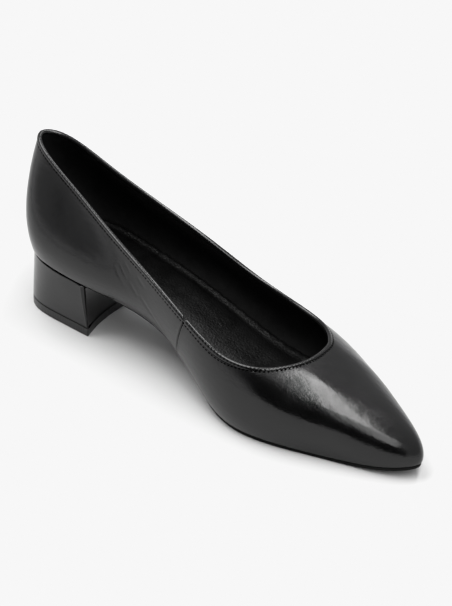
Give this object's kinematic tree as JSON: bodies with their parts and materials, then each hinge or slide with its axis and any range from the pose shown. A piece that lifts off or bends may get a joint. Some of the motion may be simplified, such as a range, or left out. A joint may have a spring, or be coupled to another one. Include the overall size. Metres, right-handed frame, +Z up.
{
  "type": "low heel pump",
  "caption": "Left low heel pump: hollow lasted leather upper with a raised topline edge, padded insole, thin outsole turned up at the toe and a low covered block heel with a rubber top piece.",
  "frame": {"origin": "on the floor, under the middle of the shoe's box", "axes": "+X to the toe, +Y to the outer side of the foot, +Z up"},
  "size_m": [0.255, 0.079, 0.0938],
  "materials": {
    "upper_leather": "smooth black calf, semi-gloss",
    "binding_leather": "smooth black calf, semi-gloss",
    "insole_leather": "black pebbled lining leather",
    "sole_rubber": "matte black",
    "heel_leather": "smooth black calf, semi-gloss",
    "top_piece_rubber": "matte black"
  },
  "bodies": {
    "root": {"upper": "upper_leather", "topline_binding": "binding_leather", "insole": "insole_leather", "outsole": "sole_rubber", "heel_block": "heel_leather", "heel_top_piece": "top_piece_rubber"}
  },
  "joints": []
}
